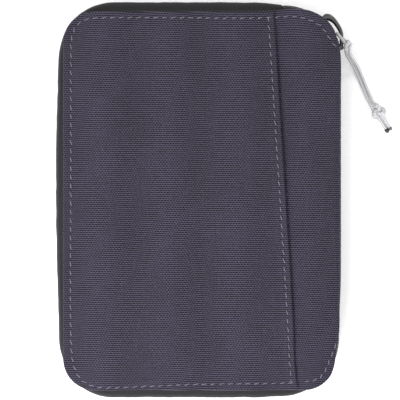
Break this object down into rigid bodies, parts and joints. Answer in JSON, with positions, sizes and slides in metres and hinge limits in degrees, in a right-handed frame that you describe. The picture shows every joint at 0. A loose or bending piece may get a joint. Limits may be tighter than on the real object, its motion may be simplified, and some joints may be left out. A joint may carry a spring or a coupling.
{
  "type": "zip-around passport holder",
  "caption": "Flat rectangular passport holder in woven fabric, zipped round three sides, with a slanted front pocket and a corded zip slider.",
  "frame": {"origin": "middle of the footprint on the surface it lies on, without the pull's cord", "axes": "+X towards the spine, +Y up the height towards the slider's corner, +Z out of the front cover"},
  "size_m": [0.1275, 0.15, 0.02],
  "materials": {
    "shell_fabric": "plain-woven nylon, matte, purple-grey",
    "lining_fabric": "thin woven lining, matte grey",
    "binding_tape": "ribbed binding tape, matte charcoal",
    "zip_tape": "woven zip tape, matte charcoal",
    "zip_coil": "nylon coil, dark grey",
    "stiffener_board": "foam-faced board",
    "thread": "polyester thread, pale lilac-grey",
    "slider_metal": "black painted die casting, satin",
    "pull_cord": "braided cord, pale grey"
  },
  "bodies": {
    "back": {"back_outer_fabric": "shell_fabric", "back_stiffener": "stiffener_board", "back_lining": "lining_fabric", "back_binding": "binding_tape", "back_zip_tape": "zip_tape", "back_zip_coil": "zip_coil", "passport_sleeve": "lining_fabric", "passport_sleeve_hem": "binding_tape", "ticket_sleeve": "lining_fabric", "zip_end_tape": "zip_tape", "zip_end_coil": "zip_coil", "zip_stops": "zip_coil"},
    "spine": {"spine_outer_fabric": "shell_fabric", "spine_lining": "lining_fabric"},
    "front": {"front_outer_fabric": "shell_fabric", "front_pocket_panel": "shell_fabric", "front_pocket_hem": "shell_fabric", "front_stiffener": "stiffener_board", "front_lining": "lining_fabric", "front_binding": "binding_tape", "front_zip_tape": "zip_tape", "front_zip_coil": "zip_coil", "card_slot_upper": "lining_fabric", "card_slot_middle": "lining_fabric", "card_slot_lower": "lining_fabric", "edge_thread": "thread", "hem_thread": "thread"},
    "slider": {"slider_body": "slider_metal", "slider_bridge": "slider_metal"},
    "pull": {"pull_cord_upper": "pull_cord", "pull_cord_lower": "pull_cord", "pull_collar": "pull_cord", "pull_knot": "pull_cord"}
  },
  "joints": [
    {"name": "spine_fold", "type": "hinge", "parent": "back", "child": "spine", "pos_m": [0.05387, 0, 0], "axis": [0, 1, 0], "range_deg": [0, 60]},
    {"name": "cover_fold", "type": "hinge", "parent": "spine", "child": "front", "pos_m": [0.05387, 0, 0.01905], "axis": [0, 1, 0], "range_deg": [0, 120]},
    {"name": "slider_round_corner", "type": "hinge", "parent": "back", "child": "slider", "pos_m": [0.03188, 0.053, 0.01], "axis": [0, 0, 1], "range_deg": [0, 41]},
    {"name": "pull_swing", "type": "hinge", "parent": "slider", "child": "pull", "pos_m": [0.0524, 0.0634, 0.01], "axis": [0, 0, 1], "range_deg": [-2, 120]}
  ],
  "couplings": [
    {"joint": "spine_fold", "follows": "cover_fold", "ratio": 0.5}
  ]
}
